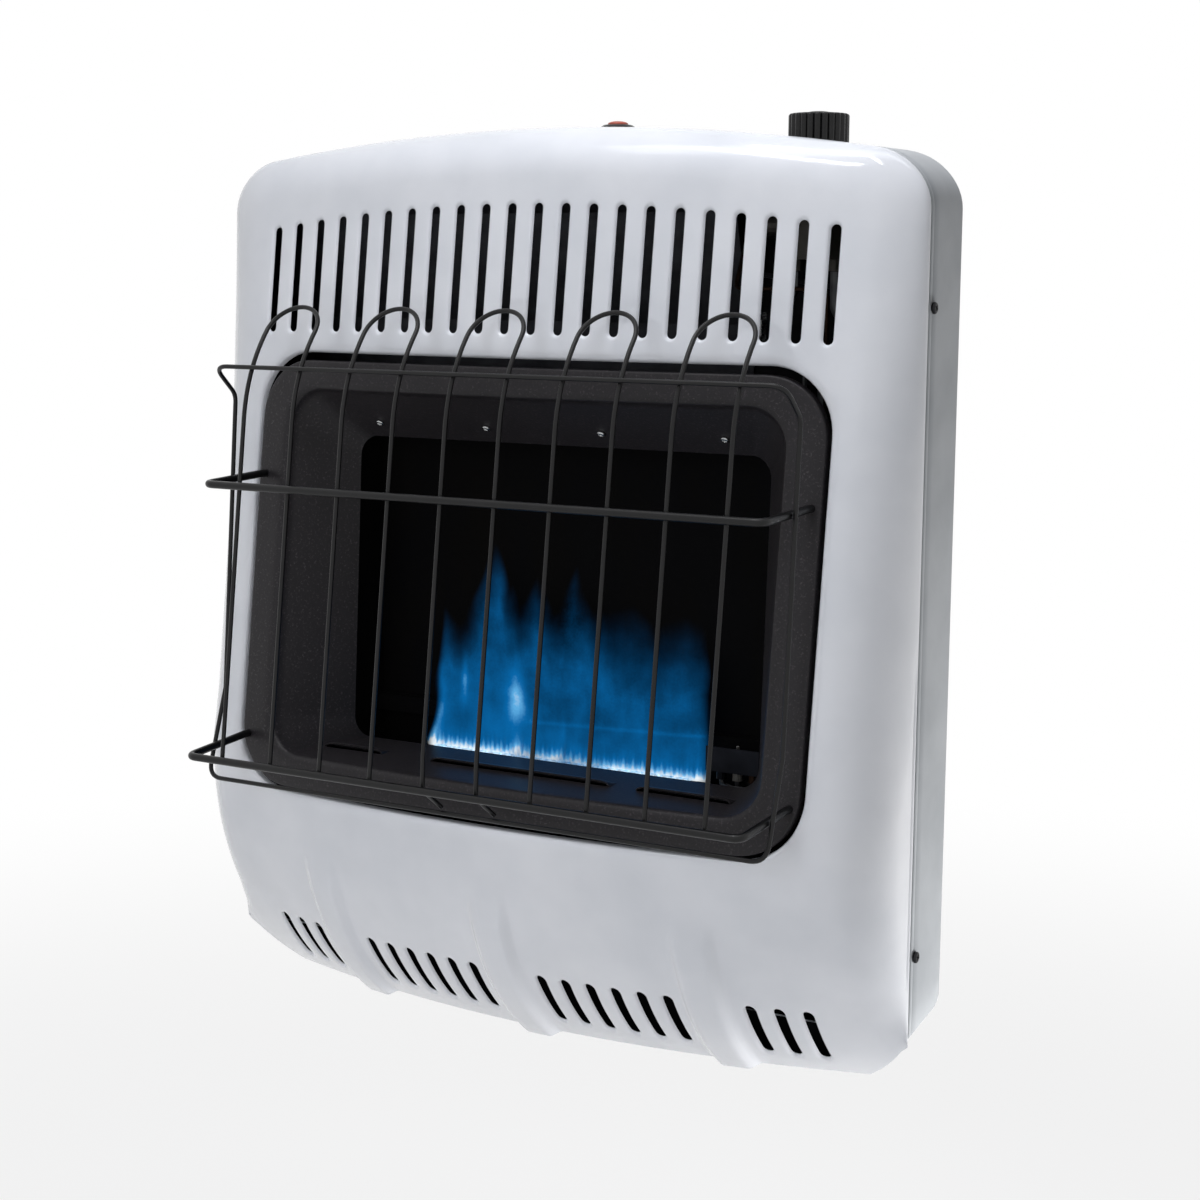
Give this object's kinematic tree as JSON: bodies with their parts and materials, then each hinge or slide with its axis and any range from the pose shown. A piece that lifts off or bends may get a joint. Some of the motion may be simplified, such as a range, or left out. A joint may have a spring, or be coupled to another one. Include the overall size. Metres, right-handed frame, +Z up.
{
  "type": "vent-free propane wall heater",
  "caption": "Wall-hung blue flame gas heater: bowed white cabinet with slots and a swept chin, dark flared firebox, wire guard, top control knob and igniter button.",
  "frame": {"origin": "centre of the wall bracket's back face, where it lies on the wall", "axes": "+X to the right as seen from the front, +Y back into the wall, +Z up"},
  "size_m": [0.5288, 0.1766, 0.6077],
  "materials": {
    "white_enamel": "gloss powder coat",
    "charcoal_enamel": "satin speckled heat-proof enamel",
    "guard_black": "satin black dip coat over welded wire",
    "chamber_steel": "sooty heat-blued steel sheet",
    "plain_steel": "plain stamped sheet",
    "screw_steel": "bright zinc plate",
    "brass": "turned",
    "aluminium": "die cast and drawn",
    "copper": "drawn tube",
    "white_ceramic": "glazed ceramic",
    "black_plastic": "moulded",
    "red_plastic": "moulded",
    "lead_rubber": "silicone sleeve"
  },
  "bodies": {
    "cabinet": {"front_cabinet": "white_enamel", "rear_housing": "white_enamel", "wall_bracket": "plain_steel", "burner_body": "plain_steel", "burner_port_strip": "plain_steel", "burner_bracket_left": "plain_steel", "burner_bracket_right": "plain_steel", "pilot_bracket": "plain_steel", "pilot_burner": "plain_steel", "valve_bracket": "plain_steel", "firebox_surround": "charcoal_enamel", "cabinet_screw_left_upper": "guard_black", "cabinet_screw_right_upper": "guard_black", "cabinet_screw_left_lower": "guard_black", "cabinet_screw_right_lower": "guard_black", "surround_screw_1": "screw_steel", "surround_screw_2": "screw_steel", "surround_screw_3": "screw_steel", "surround_screw_4": "screw_steel", "guard_hoop_1": "guard_black", "guard_hoop_2": "guard_black", "guard_hoop_3": "guard_black", "guard_hoop_4": "guard_black", "guard_hoop_5": "guard_black", "guard_bar_upper": "guard_black", "guard_bar_lower": "guard_black", "guard_ring": "guard_black", "chamber_back": "chamber_steel", "chamber_side_left": "chamber_steel", "chamber_side_right": "chamber_steel", "chamber_hood": "chamber_steel", "heat_deflector": "chamber_steel", "burner_shelf": "chamber_steel", "injector": "brass", "inlet_fitting": "brass", "spark_electrode": "white_ceramic", "thermocouple": "copper", "thermocouple_lead": "copper", "gas_valve": "aluminium", "regulator": "aluminium", "inlet_pipe": "aluminium", "burner_tube": "aluminium", "pilot_tube": "aluminium", "igniter_bezel": "black_plastic", "igniter_body": "black_plastic", "igniter_nut": "black_plastic", "igniter_lead": "lead_rubber"},
    "stem": {"valve_stem": "brass"},
    "knob": {"control_knob": "black_plastic"},
    "button": {"igniter_button": "red_plastic"}
  },
  "joints": [
    {"name": "stem_press", "type": "slide", "parent": "cabinet", "child": "stem", "axis": [0, 0, -1], "range_m": [0, 0.004], "stiffness_N_per_m": 1500, "springref_m": -0.002},
    {"name": "knob_turn", "type": "hinge", "parent": "stem", "child": "knob", "pos_m": [0.177, -0.026, 0.12], "axis": [0, 0, 1], "range_deg": [-270, 0]},
    {"name": "igniter_press", "type": "slide", "parent": "cabinet", "child": "button", "axis": [0, 0, -1], "range_m": [0, 0.004], "stiffness_N_per_m": 2000, "springref_m": -0.002}
  ]
}
